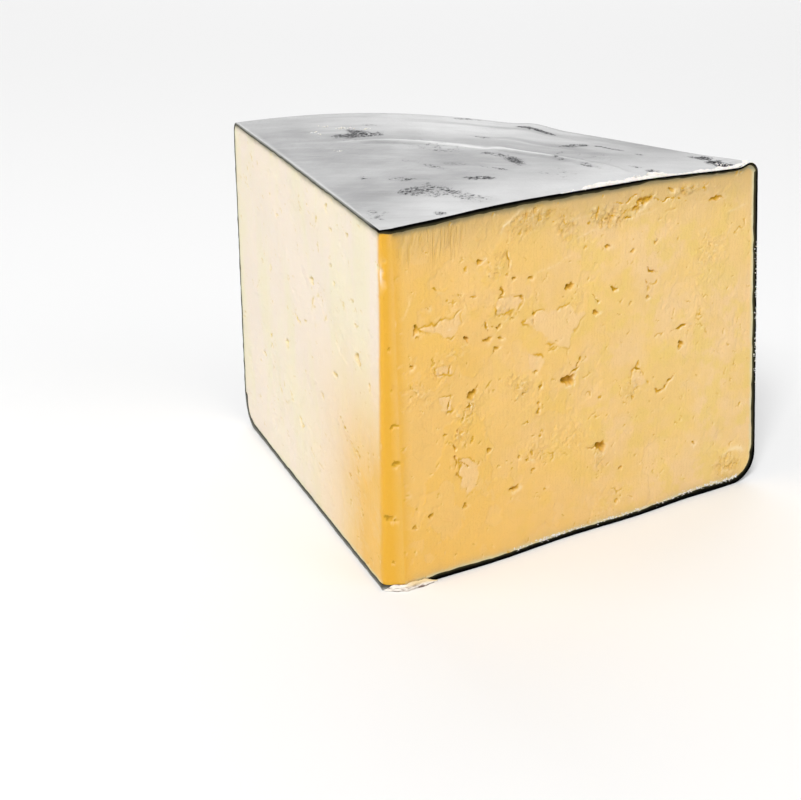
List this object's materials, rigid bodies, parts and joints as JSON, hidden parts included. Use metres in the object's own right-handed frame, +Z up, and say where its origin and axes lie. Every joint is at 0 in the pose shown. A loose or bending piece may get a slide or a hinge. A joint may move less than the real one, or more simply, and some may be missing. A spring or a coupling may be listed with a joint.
{
  "type": "cheddar block",
  "caption": "Quarter wheel of black waxed cheddar: an upright wedge with a grey bloomed wax top, a round waxed side and pitted golden cut faces.",
  "frame": {"origin": "middle of the box of the wedge, on the flat base that it stands on", "axes": "+Z up from the base to the waxed top, -Y towards the tip edge, +X along the longest side of the box"},
  "size_m": [0.2314, 0.1816, 0.1479],
  "materials": {
    "cheese": "smooth waxy paste, cut with a knife, with small holes and cracks",
    "wax": "black wax with a satin grey bloom on the top"
  },
  "bodies": {
    "root": {"cheddar_block": "cheese"}
  },
  "joints": []
}
